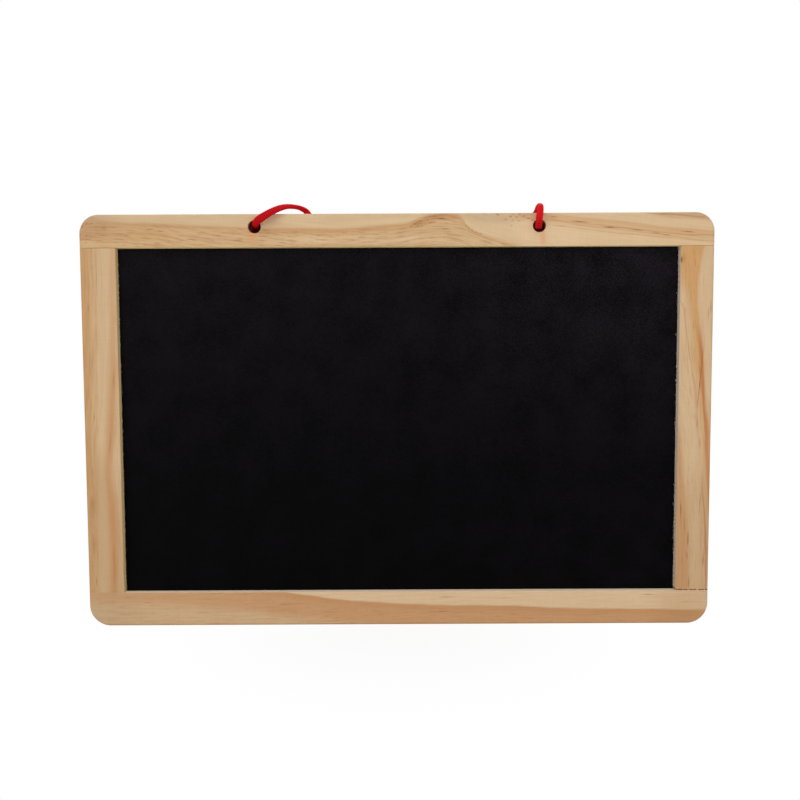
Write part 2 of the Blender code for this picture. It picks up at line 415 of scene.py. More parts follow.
def pine(name, lying, outward, inner_edge, seed, lean, feather, pale, paler, painted_wall_light, arris_shade, flow, bands,
         streaks, dashes, zone_line, marks, rubs=()):
    """Sanded, unfinished pine. Flat sawn: pale early wood, soft tan late-wood bands that sweep
    across the face, tan streaks and short reddish resin dashes that follow the grain, darker open
    end grain. Dull, with a faint sheen."""
    material, tree = new_material("pine_" + name)
    axes = add_node(tree, "ShaderNodeSeparateXYZ", {0: object_place(tree)}).outputs
    along_axis, across_axis, span = ("X", "Z", rail_span) if lying else ("Z", "X", stile_span)
    along = maths(tree, "MULTIPLY", axes[along_axis], 1 / mm)
    across = maths(tree, "MULTIPLY_ADD", axes[across_axis], outward / mm, -outward * inner_edge / mm)
    depth = maths(tree, "MULTIPLY_ADD", axes["Y"], 1 / mm, board_thickness / 2 / mm)
    place = add_node(tree, "ShaderNodeCombineXYZ", {0: along, 1: across, 2: depth}).outputs[0]
    off_flow = maths(tree, "SUBTRACT", across, line_across(tree, along, span, flow))
    grain = add_node(tree, "ShaderNodeCombineXYZ", {0: along, 1: off_flow, 2: depth}).outputs[0]

    def grain_noise(length, width, detail, start):
        """Noise drawn out along the grain, its features so many mm long and wide."""
        stretched = mapped(tree, grain, (1 / length, 1 / width, 1 / width), (start, seed, 0))
        return noise_at(tree, stretched, detail=detail, roughness=0.6)

    def in_zone(amount, shares):
        """An amount that is one share of itself on the near side of the zone's line, another beyond it."""
        share = ranged(tree, zone_side, -0.6, 0.8, *shares)
        return maths(tree, "MULTIPLY", amount, share, use_clamp=True)

    # The rings wander a little along the member, lean through its thickness and have feathered edges
    wandering = grain_noise(length=38, width=9, detail=3.0, start=0)
    wandering = maths(tree, "MULTIPLY_ADD", wandering, 1.3, -0.65)
    leaning = maths(tree, "MULTIPLY_ADD", depth, lean, wandering)
    streaky = grain_noise(length=17, width=1.2, detail=3.0, start=4.0)
    feathered = maths(tree, "MULTIPLY_ADD", streaky, feather, leaning)
    ring_across = maths(tree, "SUBTRACT", maths(tree, "ADD", across, feathered), feather / 2)

    clouds = grain_noise(length=40, width=5, detail=2.0, start=9.0)
    colour = mixed(tree, ranged(tree, clouds, 0.3, 0.7), pale, paler)
    for band in bands:
        colour = figure_band(tree, along, ring_across, span, colour, band)

    # Inside the member's zone lie tan streaks, 17 mm long, and resin dashes, 6.5 mm long
    zone_side = maths(tree, "SUBTRACT", ring_across, line_across(tree, along, span, zone_line))
    colour = mixed(tree, in_zone(ranged(tree, streaky, 0.47, 0.66), streaks), colour, "#b17c49")
    dashed = grain_noise(length=6.5, width=0.6, detail=2.0, start=17.0)
    broken = ranged(tree, dashed, 0.36, 0.56, 0.45, 1.5)
    marked = maths(tree, "MULTIPLY", placed_marks(tree, place, marks), broken, use_clamp=True)
    dashed = in_zone(ranged(tree, dashed, 0.56, 0.72), dashes)
    resin = maths(tree, "ADD", dashed, marked, use_clamp=True)
    colour = mixed(tree, resin, colour, "#95592f")

    # Fibres 25 mm long and 0.7 mm apart, and sanding marks across them
    fibres = grain_noise(length=25, width=0.7, detail=4.0, start=30.0)
    colour = mixed(tree, ranged(tree, fibres, 0.3, 0.7, 0.16, 0.0), colour, "#a87848")
    sanding = noise_at(tree, mapped(tree, place, (1 / 0.8, 1 / 12, 1)), detail=1.0)
    colour = mixed(tree, ranged(tree, sanding, 0.35, 0.65, 0.04, 0.0), colour, "#9a7046")

    # The sawn wall of the inner edge, each member's in its own colour as painted light and shade, the arris
    # over it, darkened as painted shade, and red dye rubbed off the cord
    # Painted shade: the inner arris is darker, most on the top rail and not at all on the bottom rail
    colour = mixed(tree, ranged(tree, across, 0.1, 0.3, arris_shade, 0.0), colour, "#8d6c3a")
    # Painted light and shade: the inner wall's colour differs by member with how the light falls on it
    colour = mixed(tree, ranged(tree, across, 0.02, 0.06, 1.0, 0.0), colour, painted_wall_light)
    if rubs:
        colour = mixed(tree, placed_marks(tree, place, rubs), colour, "#e0935c")

    # The ends of a rail show open end grain, darker than its faces
    if lying:
        half = board_width / 2 / mm
        reach = maths(tree, "ABSOLUTE", along)
        colour = mixed(tree, ranged(tree, reach, half - 0.9, half - 0.1, 0.0, 0.35), colour, "#a9794a")

    dents = add_node(tree, "ShaderNodeBump", {
        "Height": resin, "Strength": 0.25, "Distance": 0.05 * mm,
        "Normal": bumped(tree, fibres, 0.12, 0.05 * mm)}, invert=True).outputs[0]
    return surfaced(material, colour, ranged(tree, fibres, 0.3, 0.7, 0.72, 0.58), 0.25, dents)


def level(across):
    """A line of the figure that runs straight along a rail."""
    return [(place, across) for place in rail_span]


# Where each band and mark of the figure lies, in mm: along the member, and across it from its
# inner edge outward
tan_edge = [(-150, 17.0), (-143, 14.4), (-138, 12.8), (-130, 11.8), (-110, 11.0), (-83, 9.9), (-56, 9.0),
            (-30, 8.7), (-16, 9.3), (-5, 10.2), (4, 11.0), (10.5, 13.2), (16, 14.8), (22, 16.2),
            (27.5, 15.8), (30.5, 13.9), (32.5, 10.6), (35, 7.8), (41.7, 5.3), (48.8, 3.0), (58.2, 0.6),
            (66, -4), (90, -14), (160, -20)]
wedge_edge = [(-160, -7.4), (-80, -4.2), (-57, -0.8), (-50.7, 0.6), (-40.5, 1.9), (-31, 3.3), (-19.6, 4.4),
              (-9, 5.0), (1.3, 5.8), (12, 6.3), (32.5, 6.8), (56, 7.3), (81, 8.4), (109, 8.9), (137, 9.4),
              (150, 9.7)]
past_wedge = [(along, across + wedge_step) for along, across in wedge_edge]
top_rail_figure = dict(
    name="top_rail", lying=True, outward=1, inner_edge=board_height - top_rail_width, seed=3.1, lean=0.45,
    feather=1.6, pale="#d0b38c", paler="#d9be97", painted_wall_light="#dccb84", arris_shade=0.35,
    flow=[(-150, 9.5), (-122, 8.7), (-86, 3.0), (-60, 1.0), (-30, -1.2), (-15, -1.4), (0, -1.0), (14, 1.2),
          (24, 1.4), (40, -3.0), (60, -8.5), (90, -12), (150, -19)],
    bands=[
        # Painted light: the right part of the top rail is lighter
        Band("#e3c79f", 0.75, [(-160, 30), (30, 30), (75, -6), (160, -6)], soft=4),
        Band("#c99f6c", 0.5, level(-6), far=tan_edge, fade=0.9),
        Band("#c08c58", 0.5, [(-150, 10.2), (-137, 10.0), (-110, 9.2), (-83, 8.0), (-56, 7.0), (-30, 6.5),
             (-16, 7.2), (-5, 8.2), (4, 8.6), (10.5, 9.8), (16, 11.4), (22, 13.2), (27, 12.8), (30, 11.6),
             (32, 9.8), (35, 6.4), (41.7, 4.0), (48.8, 1.6), (58.2, -1.0), (66, -6), (90, -16), (160, -22)],
             far=tan_edge, soft=1.2, fade=0.7),
        Band("#dcc098", 0.4, level(-6), ends=[(20, 50)]),
        Band("#ae917a", 0.45, level(4.5), soft=2.0, ends=[(-126, -142)]),
        Band("#bd8a50", 0.3, level(3.5), width=8.5, soft=1.5, fade=1.5, ends=[(-96, -116)]),
        Band("#dec29b", 0.5, level(1.6), width=3.4, soft=0.8, fade=1.2, ends=[(-72, -52), (40, 20)]),
        Band("#bf9362", 0.14, level(-6), width=14, fade=2, ends=[(76, 98)]),
        Band("#c6a884", 0.25, level(9), soft=1.5, ends=[(-66, -90)]),
        Band("#b89c78", 0.45, [(-160, 15), (20, 15), (44, 11.0), (56, 11.4), (66, 14), (160, 20)], soft=1.8,
             ends=[(26, 38), (70, 60)]),
        Band("#c8a983", 0.3, [(-160, 18), (40, 18), (56, 17.4), (70.5, 14.6), (82, 13.2), (96, 11.8),
             (110, 10.2), (123, 8.5), (150, 6.2)], soft=1.2, ends=[(60, 76)]),
        Band("#c4905a", 0.5, [(-160, 15), (40, 15), (56, 14.2), (70.5, 11.6), (82, 9.9), (96, 8.4),
             (110, 6.8), (123, 5.1), (137, 3.7), (150, 2.7)], far=[(-160, 20), (40, 20), (56, 17.4),
             (70.5, 15.4), (82, 14.0), (96, 12.6), (110, 11.0), (123, 9.3), (137, 7.9), (150, 6.9)],
             soft=3.0, fade=0.35, ends=[(50, 62)]),
        Band("#a96c42", 0.55, [(-160, 14), (62, 14), (74, 12.2), (86, 10.6), (100, 9.0), (114, 7.3),
             (128, 5.6), (140, 5.0), (150, 4.6)], width=0.3, soft=0.2, fade=0.25, ends=[(66, 74)]),
        Band("#bb8558", 0.35, [(-160, 12.8), (62, 12.8), (76, 11.2), (90, 9.3), (104, 7.5), (118, 5.6),
             (132, 3.8), (150, 1.4)], width=0.5, soft=0.3, fade=0.4, ends=[(66, 76)]),
        Band("#bf9265", 0.45, [(-160, 11), (64, 11), (75, 9.4), (92, 7.2), (105, 5.7), (116, 4.6),
             (136, 2.8), (150, 1.6)], width=0.45, soft=0.2, fade=0.3, ends=[(68, 78)]),
        Band("#a9764f", 0.75, [(-160, 16.4), (108, 16.4), (121.6, 14.9), (133, 14.0), (143, 13.2),
             (150, 12.6)], width=0.5, soft=0.2, fade=0.25, ends=[(108, 122)]),
        Band("#b58a5f", 0.5, [(-160, 15.4), (108, 15.4), (121.6, 14.0), (133, 13.0), (143, 12.0),
             (150, 11.2)], soft=0.8, ends=[(112, 130)]),
    ],
    streaks=(0.5, 0.05), dashes=(0.6, 0.02),
    zone_line=[(-150, 11.6), (-110, 10.6), (-83, 9.0), (-56, 8.2), (-30, 7.8), (-5, 9.3), (4, 10.0),
               (10.5, 12.0), (24, 14.8), (32, 10.6), (38, 6.2), (51, 2.0), (66, -4), (90, -14), (160, -20)],
    marks=[
        (-133.7, 9.7, 5, 0.7, -3, 0.4), (-131, 6.5, 9, 0.8, -2, 0.5), (-116.7, 8.7, 5, 1.2, -3, 0.5),
        (-111.5, 7.7, 5, 0.9, -4, 0.5), (-119, 4.4, 8, 0.6, -3, 0.5), (-123, 1.6, 5, 0.6, -2, 0.5),
        (-92, 7.0, 6, 0.8, -3, 0.5), (-84.5, 5.5, 6, 0.7, -4, 0.5), (-97, 3.8, 7, 0.7, -4, 0.5),
        (-76, 3.2, 7, 0.6, -4, 0.45), (-61.8, 8.0, 5, 0.9, 0, 0.5), (-56.6, 5.9, 7, 0.7, -3, 0.5),
        (-54.3, 2.2, 6, 0.7, -2, 0.5), (10, 10.6, 9, 3.4, 12, 0.3), (21.4, 13.0, 5, 0.6, -4, 0.75),
        (6.7, 9.4, 2.2, 0.9, 20, 0.45), (8.4, 10.6, 2.0, 0.9, 30, 0.45), (9.7, 9.8, 2.0, 0.9, 10, 0.45),
        (9.7, 11.4, 1.8, 0.9, 30, 0.4), (11.0, 11.1, 1.8, 0.9, 20, 0.45), (11.8, 10.0, 1.8, 0.9, 30, 0.4),
        (11.4, 12.3, 2.0, 0.9, 20, 0.45), (12.7, 11.6, 1.8, 0.9, 25, 0.45), (13.5, 10.6, 2.0, 0.9, 30, 0.4),
        (32.6, 9.4, 1.8, 1.0, -50, 0.45), (34.0, 8.4, 2.0, 1.0, -45, 0.45),
        (35.6, 7.6, 2.0, 1.0, -35, 0.45), (37.4, 6.8, 2.2, 1.0, -30, 0.45), (39.4, 5.8, 2.4, 1.0, -25, 0.4),
        (13.1, 12.9, 2.0, 1.0, 20, 0.4), (14.4, 12.3, 2.4, 1.0, 20, 0.45), (15.5, 11.2, 2.2, 1.0, 10, 0.4),
        (17, 14.0, 16, 3.6, 3, 0.3), (23, 13.6, 13, 3.4, -5, 0.4), (16, 11.2, 8, 1.4, 6, 0.4),
        (42.2, 1.6, 6, 0.6, -20, 0.5), (49.7, 1.2, 6, 0.6, -14, 0.5), (73.8, 13.6, 5, 0.6, -4, 0.8),
        (86.5, 11.3, 11, 0.8, -5, 0.95), (77.6, 9.4, 5, 0.5, -4, 0.4), (101, 8.6, 11, 0.8, -5, 0.95),
        (113.3, 7.4, 8, 0.7, -5, 0.8), (122, 5.9, 6, 0.7, -6, 0.8), (126.8, 5.0, 6, 0.6, -6, 0.7),
        (137.2, 6.5, 8, 0.7, -5, 0.9), (47.4, 14.8, 2.4, 1.2, -30, 0.6), (51.2, 12.5, 2.2, 1.2, 10, 0.55),
        (53.5, 13.9, 2.0, 1.2, 20, 0.6), (54.5, 12.0, 2.0, 1.1, 30, 0.55), (54.9, 14.8, 2.2, 1.2, 0, 0.6),
        (56.4, 13.7, 2.0, 1.2, -20, 0.55), (57.3, 11.8, 2.0, 1.1, 20, 0.55),
        (57.8, 14.8, 2.2, 1.2, 10, 0.6), (59.7, 14.1, 2.4, 1.2, 0, 0.6), (54.0, 9.7, 1.8, 0.8, 30, 0.6),
        (62.0, 13.0, 3.0, 0.8, -5, 0.7), (64.0, 12.2, 2.4, 0.8, -5, 0.6), (-148.2, 10.0, 2.4, 0.8, 70, 0.7),
        (-146.5, 11.2, 2.2, 0.7, 40, 0.5), (-143.8, 11.6, 2.6, 0.6, 25, 0.5),
        (-140.4, 11.8, 2.6, 0.6, 10, 0.4), (-146.8, 8.4, 2.0, 0.7, 55, 0.5),
        (-146.5, 5.7, 2.2, 0.8, 50, 0.6), (-139.6, 6.0, 7.0, 0.7, -3, 0.5),
        (-146.5, 3.9, 2.0, 0.6, 40, 0.5), (-146.8, 2.4, 2.4, 0.6, 30, 0.45),
        (-141.8, 9.7, 2.4, 0.6, 35, 0.4), (-138, 9.0, 2.2, 0.6, 20, 0.35),
    ],
    rubs=[(-68.6, 5.0, 6.0, 7.0, 0, 0.55), (68.9, 3.6, 4.6, 9.5, 0, 0.6)],
)
bottom_rail_figure = dict(
    name="bottom_rail", lying=True, outward=-1, inner_edge=bottom_rail_width, seed=7.7, lean=0.35,
    feather=0.9, pale="#cdad86", paler="#d2b38d", painted_wall_light="#f4dcc0", arris_shade=0.0,
    flow=[(-160, 4), (-57, 1.5), (-31, 0), (1, -1.6), (56, -3), (109, -4), (150, -4.6)],
    bands=[
        Band("#e0c29c", 0.95, level(-6), far=wedge_edge, fade=0.6),
        Band("#c9986a", 0.85, past_wedge, far=[(-160, 4.0), (-126, 5.0), (-87, 7.2), (-48, 12.5),
             (-10, 16.5), (30, 20), (160, 27)], soft=0.6, fade=3.6),
        Band("#bf8450", 0.35, past_wedge, width=2.6, soft=0.5, fade=1.6),
        # Painted shade: the eased bottom edge of the rail is darker
        Band("#a9803f", 0.5, level(15.5), width=6, soft=0.3),
        Band("#a47b50", 0.3, level(-6), ends=[(116, 140)]),
        Band("#ab9270", 0.28, level(-6), ends=[(-114, -138)]),
    ],
    streaks=(0.12, 0.22), dashes=(0.08, 0.26),
    zone_line=[(-160, -5), (-57, 0.5), (-19.6, 5.6), (12, 7.2), (56, 8.2), (109, 9.8), (150, 10.6)],
    marks=[
        (-131, 2.3, 5, 0.6, -4, 0.5), (-121.8, 4.9, 6, 0.5, 0, 0.4), (-54.6, 5.9, 9, 0.7, -2, 0.6),
        (-50.7, 9.8, 7, 0.6, -2, 0.35), (-106.7, 14.4, 6, 0.6, 0, 0.35), (-32.2, 9.8, 8, 0.7, -2, 0.45),
        (-21.5, 8.9, 5, 0.5, 0, 0.4), (-8.9, 11.3, 4, 0.6, 0, 0.4), (18.9, 9.9, 22, 0.7, -1, 0.6),
        (55.4, 11.3, 9, 0.6, -1, 0.55), (64.1, 13.7, 6, 0.6, 0, 0.35), (23.7, 2.7, 12, 0.6, -1, 0.6),
        (51.9, 3.4, 9, 0.5, -1, 0.3), (121, 1.9, 7, 0.6, 0, 0.6), (142, 5.5, 15, 0.45, 0, 0.4),
    ],
)
left_stile_figure = dict(
    name="left_stile", lying=False, outward=-1, inner_edge=left_stile_width - board_width / 2, seed=11.3,
    lean=0.4, feather=1.6, pale="#ccad86", paler="#d2b48d", painted_wall_light="#e6c78e", arris_shade=0.25,
    flow=[(0, 0), (58, 0.6), (76, 1.6), (116, -1.5), (181, -2.2)],
    bands=[
        # Painted shade: the lower part of the stile is darker
        Band("#ad8659", 0.3, [(0, -6), (50, -6), (120, 30), (200, 30)], soft=9),
        Band("#bd8049", 0.7, [(0, 3.4), (18, 2.9), (34.6, 2.5), (58.5, 3.1), (76, 4.6), (95, 2.7),
             (116, 1.2), (128, 1.2), (152.7, 1.0), (181.5, 0.9)], far=[(0, 6.9), (18, 6.6), (34.6, 6.1),
             (58.5, 6.6), (76, 7.1), (95, 6.0), (116, 4.1), (128, 3.3), (152.7, 2.3), (181.5, 1.7)],
             soft=2.4, fade=2.2),
        Band("#bf925f", 0.75, [(0, 13.0), (22, 13.0), (58, 12.6), (100, 12.2), (155, 11.4), (181, 11.0)],
             width=20, soft=3.2, fade=1.0),
        Band("#bd8553", 0.2, [(0, 12.6), (22, 12.5), (58, 11.6), (100, 10.6), (155, 9.6), (181, 9.0)],
             width=0.5, soft=0.3, fade=0.5),
    ],
    streaks=(0.1, 0.4), dashes=(0.0, 0.15),
    zone_line=[(0, 12.6), (58, 11.6), (100, 10.6), (155, 9.6), (181, 9.0)],
    marks=[
        (153.7, 13.5, 6, 1.3, 0, 0.5), (102, 12.1, 4, 0.7, 0, 0.5), (74.7, 13.6, 7, 0.7, 0, 0.5),
        (22.2, 13.3, 7, 0.6, 0, 0.55), (167.3, 6.8, 17, 0.4, 0, 0.3), (58.5, 14.2, 14, 3.4, 0, 0.35),
        (40.3, 14.0, 14, 3.0, 0, 0.3), (168, 9.3, 22, 0.6, -1, 0.4), (120, 2.4, 16, 1.4, -3, 0.35),
        (88, 5.0, 14, 1.4, -4, 0.3), (30, 4.4, 26, 1.8, 0, 0.3),
    ],
)
right_stile_figure = dict(
    name="right_stile", lying=False, outward=1, inner_edge=board_width / 2 - right_stile_width, seed=17.9,
    lean=0.4, feather=2.2, pale="#d0b18a", paler="#d5b891", painted_wall_light="#d6c8b8", arris_shade=0.2,
    flow=[(0, 3), (46, 2), (70, 0.8), (95, -0.5), (116, -2.4), (146, -5.5), (160, -6.5), (181, -6.5)],
    bands=[
        # Painted shade: the lower part of the stile is darker
        Band("#ad8659", 0.3, [(0, -6), (40, -6), (110, 30), (200, 30)], soft=9),
        Band("#cb975a", 0.8, [(0, 22), (30, 18), (46, 15.9), (70.4, 14.0), (82.4, 12.7), (95.3, 12.3),
             (104, 10.9), (116, 9.0), (122, 8.2), (140.5, 6.2), (146.4, 5.4), (158.6, 3.6), (162, 2.2),
             (166, 0.6), (171, -1), (181.5, -3)], far=[(0, 26), (30, 19), (46, 17), (70.4, 15.2),
             (82.4, 14.4), (95.3, 13.8), (104, 12.7), (116, 11.7), (140.5, 9.9), (146.4, 9.2), (158.6, 8.3),
             (165, 8.6), (170.7, 9.3), (177, 10.3), (181.5, 11.4)], soft=3.0, fade=0.9),
        Band("#b9703c", 0.85, [(0, 26), (30, 18.4), (46, 16.4), (70.4, 14.6), (82.4, 13.5), (95.3, 13.0),
             (104, 11.8), (116, 10.7), (140.5, 8.8), (150, 8.0), (200, 8.0)], width=1.8, soft=0.7, fade=0.8,
             ends=[(148, 132)]),
        Band("#bd7f55", 0.55, [(0, 12), (60, 12), (90, 9.6), (95.3, 9.2), (114.2, 7.6), (122, 6.1),
             (131.3, 4.6), (140.5, 3.1), (145.4, 2.5), (152, 1.6), (160, -3), (181.5, -6)], width=0.6,
             soft=0.4, fade=0.4, ends=[(78, 96)]),
        Band("#bd8a58", 0.7, [(0, -4), (181, -4)], far=[(0, 6.8), (18.4, 6.5), (46.5, 5.3), (58.5, 4.4),
             (71.4, 3.2), (90, 1.4), (112, -3), (181, -5)], soft=0.5, fade=1.4),
        Band("#c29468", 0.36, [(0, 11.0), (40, 11.6), (70, 12.6), (100, 15), (125, 20), (181, 30)],
             width=20, soft=2.2),
        Band("#a5643c", 0.65, [(0, 14.6), (22, 14.2), (37, 14.2), (61, 12.5), (75, 11), (181, 4)],
             width=0.7, soft=0.4, fade=0.4, ends=[(78, 60)]),
        # Painted shade: the eased outer edge of the stile is darker
        Band("#ad7443", 0.15, [(0, 15.3), (181, 15.3)], width=6, soft=0.3),
    ],
    streaks=(0.2, 0.15), dashes=(0.25, 0.1),
    zone_line=[(0, 8), (60, 8), (116, 9), (181, 9)],
    marks=[
        (175.6, 1.4, 6.0, 3.0, 0, 0.3), (175.2, 0.4, 3.0, 1.3, 0, 2.4), (173.7, 6.9, 5, 0.9, 0, 0.4),
        (153.2, 14.7, 8, 0.7, 0, 0.7), (150.0, 13.6, 7, 0.6, 0, 0.5), (143.9, 6.6, 5, 0.8, 0, 0.6),
        (88.1, 10.7, 8, 0.7, 0, 0.6), (98.1, 9.2, 6, 0.7, 0, 0.6), (120, 10.4, 42, 0.9, 5, 0.7),
        (31.3, 13.2, 12, 0.8, 2, 0.8), (58.5, 11.2, 14, 0.7, 3, 0.6), (56.1, 2.1, 14, 0.9, 0, 0.7),
        (41.3, 5.8, 11, 0.9, 0, 0.8), (33.2, 5.5, 6, 0.8, 0, 0.6), (30.8, 3.2, 6, 0.8, 0, 0.6),
        (20.7, 6.4, 7, 0.9, 0, 0.9), (48.0, 3.9, 10, 0.8, -2, 0.6),
    ],
)


# Other materials


def bored_hole():
    """Drilled pine in the holes, given a red-brown colour that is painted shade and painted red light from
    the cord: dark, dull.
    """
    material, tree = new_material("drilled_pine_painted_shade")
    rough = noise_at(tree, mapped(tree, object_place(tree), (1200, 300, 1200)), detail=3.0)
    return surfaced(material, mixed(tree, rough, "#8a2a22", "#bc5644"), 0.85, 0.2,
                    bumped(tree, rough, 0.5, 0.1 * mm))


def raw_fibre():
    """Torn pine fibre: paler than the sanded face, dull."""
    material, tree = new_material("torn_pine_fibre")
    patches = noise_at(tree, object_place(tree), 400.0)
    return surfaced(material, mixed(tree, patches, "#e0cfa4", "#f4ead0"), 0.8, 0.2)


def chalkboard_paint():
    """Matt black chalkboard paint, rolled on hardboard: a fine even tooth of about 0.6 mm, slightly mottled,
    with almost no gloss, and painted light that makes it lighter towards the top and the right."""
    material, tree = new_material("chalkboard_paint")
    where = object_place(tree)
    tooth = noise_at(tree, mapped(tree, where, (1600, 1600, 1600)), roughness=0.7)
    mottle = noise_at(tree, where, 60.0, 3.0)
    share = ranged(tree, maths(tree, "MULTIPLY_ADD", tooth, 2.0, mottle), 1.2, 1.8)
    axes = add_node(tree, "ShaderNodeSeparateXYZ", {0: where}).outputs
    # Painted light: the paint's colour is scaled lighter towards the top and the right
    painted_light_upward = ranged(tree, axes["Z"], board_height / 3, board_height, 0.25, 1.2)
    painted_light_sideways = ranged(tree, axes["X"], 0, board_width / 2, 1.0, 1.75)
    colour = add_node(tree, "ShaderNodeVectorMath", {
        0: mixed(tree, share, "#020102", "#141016"),
        "Scale": maths(tree, "MULTIPLY", painted_light_upward, painted_light_sideways)}, operation="SCALE").outputs[0]
    return surfaced(material, colour, ranged(tree, mottle, 0.0, 1.0, 0.46, 0.58), 0.04,
                    bumped(tree, tooth, 0.35, 0.06 * mm))


def wipe_clean_film():
    """White melamine film on hardboard: smooth, glossy, with the faintest orange peel and dry-wipe haze."""
    material, tree = new_material("white_melamine_film")
    where = object_place(tree)
    peel = noise_at(tree, where, 350.0)
    haze = noise_at(tree, mapped(tree, where, (9, 1, 60), turn=(0, math.radians(24), 0)), detail=4.0)
    colour = mixed(tree, haze, "#e3e4e4", "#ecedec")
    return surfaced(material, colour, ranged(tree, haze, 0.0, 1.0, 0.12, 0.26),
                    normal=bumped(tree, peel, 0.08, 0.05 * mm))


def hardboard():
    """Brown pressed hardboard: dense fibres matted together, dull."""
    material, tree = new_material("brown_hardboard")
    fibres = noise_at(tree, object_place(tree), 900.0, 5.0)
    return surfaced(material, mixed(tree, fibres, "#4e3722", "#7b5a3a"), 0.85, 0.2,
                    bumped(tree, fibres, 0.4, 0.1 * mm))


def braided_polyester():
    """Bright red braided polyester: each stitch is a bundle of fine filaments, dull, with painted light along
    the crowns, and painted shade between them and inside the holes. The tail's tip is melted dark and shiny."""
    material, tree = new_material("braided_polyester")
    own = add_node(tree, "ShaderNodeUVMap", uv_map="stitches").outputs[0]
    filaments = noise_at(tree, mapped(tree, own, (9, 2.6, 1), turn=(0, 0, math.radians(20))))
    painted_light, melted, hole_shade = [
        add_node(tree, "ShaderNodeAttribute", attribute_name=name).outputs["Fac"]
        for name in ("painted_light", "melted", "hole_shade")]
    # Painted light and shade: this attribute turns the stitches from deep red to bright red
    share = ranged(tree, maths(tree, "MULTIPLY_ADD", filaments, 0.35, painted_light), 0.1, 1.2)
    # Painted shade: the cord is darker inside the holes
    colour = mixed(tree, hole_shade, mixed(tree, share, "#76060b", "#e41a22"), "#860a10")
    colour = mixed(tree, melted, colour, "#3a0708")
    return surfaced(material, colour, ranged(tree, melted, 0.0, 1.0, 0.7, 0.2), 0.04,
                    bumped(tree, filaments, 0.35, 0.05 * mm))


# Wooden members


def arc(centre, radius, first, last, steps):
    points = []
    for step in range(steps + 1):
        angle = math.radians(first + (last - first) * step / steps)
        points.append((centre[0] + radius * math.cos(angle), centre[1] + radius * math.sin(angle)))
    return points


def prism(points, way):
    """Close an outline of 3-D points with a face and pull it along a vector."""
    bm = bmesh.new()
    face = bm.faces.new([bm.verts.new(point) for point in points])
    pulled = bmesh.ops.extrude_face_region(bm, geom=[face])["geom"]
    moved = [item for item in pulled if isinstance(item, bmesh.types.BMVert)]
    bmesh.ops.translate(bm, verts=moved, vec=way)
    bmesh.ops.recalc_face_normals(bm, faces=bm.faces)
    return bm


def box_cutter(corner, opposite):
    (left, right), (front, back), (low, high) = [sorted(pair) for pair in zip(corner, opposite)]
    outline = [(left, front, low), (right, front, low), (right, back, low), (left, back, low)]
    return prism(outline, (0, 0, high - low))


def take_away(target, cutters):
    """Cut closed shapes out of an object; a cutter's faces keep their material number."""
    for number, bm in enumerate(cutters):
        cut = target.modifiers.new("cut", "BOOLEAN")
        cut.operation = "DIFFERENCE"
        cut.solver = "EXACT"
        cut.material_mode = "INDEX"
        cut.object = new_object(f"{target.name}_cutter_{number}", mesh_from("cutter", bm))
    used = [cut.object for cut in target.modifiers]
    made_plain(target)
    for cutter in used:
        bpy.data.objects.remove(cutter)


def sliced(bm, axis, start, stop, step):
    """Slice a mesh at even steps along an axis, so that its faces can carry small unevenness."""
    normal = Vector((0, 0, 0))
    normal[axis] = 1
    count = round((stop - start) / step)
    for index in range(1, count):
        point = normal * (start + (stop - start) * index / count)
        bmesh.ops.bisect_plane(bm, geom=list(bm.verts) + list(bm.edges) + list(bm.faces),
                               dist=slice_distance, plane_co=point, plane_no=normal)


def finish_wood(member, lift, slices):
    """Slice a member, let its faces wave by a few hundredths of a mm, and keep only sharp edges sharp."""
    bm = bmesh.new()
    bm.from_mesh(member.data)
    bmesh.ops.remove_doubles(bm, verts=bm.verts, dist=weld_distance)
    for axis, start, stop, step in slices:
        sliced(bm, axis, start, stop, step)
    half = board_thickness / 2
    for vert in bm.verts:
        if abs(vert.co.y) > half - edge_round / 4:
            wave = noise.noise(vert.co * hollow_scale + Vector((lift, 0, 0)))
            vert.co.y += flatness * (wave - hollow_share)
    bmesh.ops.triangulate(bm, faces=[face for face in bm.faces if len(face.verts) > 4])
    for face in bm.faces:
        face.smooth = True
    for edge in bm.edges:
        edge.smooth = not (edge.is_manifold and edge.calc_face_angle(0) > sharp_angle)
    bm.to_mesh(member.data)
    bm.free()
    return member


def rail(name, width, corner_radius, z_inner, up, material, hole_material=None):
    """A rail with rounded outer corners, eased edges and a through groove at its inner edge."""
    half = board_width / 2
    front = board_thickness / 2
    middle = half - corner_radius
    shoulder = width - corner_radius
    outline = [(-half, 0), (half, 0)]
    outline += arc((middle, shoulder), corner_radius, 0, 90, corner_steps)
    outline += arc((-middle, shoulder), corner_radius, 90, 180, corner_steps)
    bm = prism([(x, -front, z_inner + up * z) for x, z in outline], (0, board_thickness, 0))
    # The edges round both faces are eased. Those at the joint only lose their arris.
    ends = [(edge, *[vert.co for vert in edge.verts]) for edge in bm.edges]
    outer = [edge for edge, a, b in ends
             if abs(a.y - b.y) < edge_round <= abs(a.z + b.z - 2 * z_inner)]
    bmesh.ops.bevel(bm, geom=outer, offset=edge_round, segments=edge_steps, affect="EDGES", profile=0.5)
    inner = [edge for edge in bm.edges if all(
        max(abs(vert.co.z - z_inner), abs(abs(vert.co.y) - front)) < touching for vert in edge.verts)]
    bmesh.ops.bevel(bm, geom=inner, offset=arris_size, segments=arris_steps, affect="EDGES", profile=0.5)
    bmesh.ops.recalc_face_normals(bm, faces=bm.faces)
    member = new_object(name, mesh_from(name, bm), *[kind for kind in (material, hole_material) if kind])
    cutters = [box_cutter((-half - overrun, -groove_width / 2, z_inner - up * overrun),
                          (half + overrun, groove_width / 2, z_inner + up * groove_depth))]
    if hole_material:
        cutters += [hole_cutter(left_hole), hole_cutter(right_hole)]
    take_away(member, cutters)
    return finish_wood(member, z_inner, [
        (0, -half, half, long_cut), (2, z_inner, z_inner + up * width, cross_cut)])


